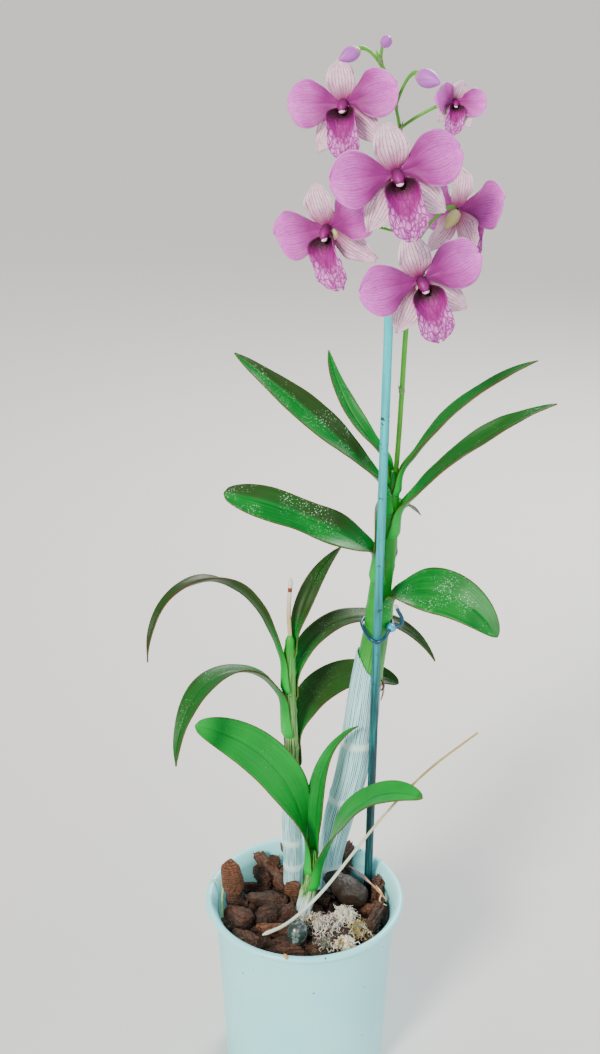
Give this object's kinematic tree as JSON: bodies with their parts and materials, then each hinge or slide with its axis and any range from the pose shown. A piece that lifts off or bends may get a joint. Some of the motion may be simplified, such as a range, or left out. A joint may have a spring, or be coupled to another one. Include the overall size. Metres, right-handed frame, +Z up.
{
  "type": "potted dendrobium orchid",
  "caption": "Dendrobium orchid in a plain round pot of bark, with leafy canes, a staked flower spike of mauve blooms with magenta lips, and a wire tie.",
  "frame": {"origin": "centre of the pot's flat foot, on the surface it stands on", "axes": "+Z up; the blooms face -Y; +X to the right as seen from the blooms' side"},
  "size_m": [0.227, 0.1589, 0.6121],
  "materials": {
    "pot_plastic": "thin moulded plastic with a soft sheen",
    "bark": "rough weathered bark chips",
    "dark_bark": "darker bark, slightly smooth",
    "pebble": "smooth, slightly wet",
    "moss": "dry curled threads",
    "cane": "waxy green stem",
    "dry_sheath": "papery, with fine lengthwise ribs",
    "leaf": "leathery, with a waxy sheen",
    "painted_stake": "thin scuffed paint",
    "tie_wire": "plastic-covered wire",
    "tie_bead": "smooth",
    "dry_stalk": "dry, matte",
    "root": "matte",
    "spike": "waxy green stem",
    "petal": "velvety",
    "lip": "velvety"
  },
  "bodies": {
    "root": {"aerial_root": "root", "bark_bed": "bark", "bloom_a": "petal", "bloom_b": "petal", "bloom_c": "petal", "bloom_d": "petal", "bloom_e": "petal", "bloom_f": "petal", "bud_1": "petal", "bud_2": "petal", "bud_3": "petal", "cane_middle": "cane", "cane_tall": "cane", "cane_young": "cane", "chip_dark": "dark_bark", "chip_standing": "dark_bark", "cut_stalk": "dry_stalk", "flower_spike": "spike", "leaf_middle_1": "leaf", "leaf_middle_2": "leaf", "leaf_middle_3": "leaf", "leaf_middle_4": "leaf", "leaf_middle_5": "leaf", "leaf_tall_1": "leaf", "leaf_tall_2": "leaf", "leaf_tall_3": "leaf", "leaf_tall_4": "leaf", "leaf_tall_5": "leaf", "leaf_tall_6": "leaf", "leaf_tall_7": "leaf", "leaf_young_1": "leaf", "leaf_young_2": "leaf", "leaf_young_3": "leaf", "lip_a": "lip", "lip_b": "lip", "lip_c": "lip", "lip_d": "lip", "lip_e": "lip", "lip_f": "lip", "moss_tuft": "moss", "pebble": "pebble", "pot": "pot_plastic", "sheath_middle": "dry_sheath", "sheath_tall": "dry_sheath", "stake": "painted_stake", "tie_bead": "tie_bead", "tie_wire": "tie_wire"}
  },
  "joints": []
}
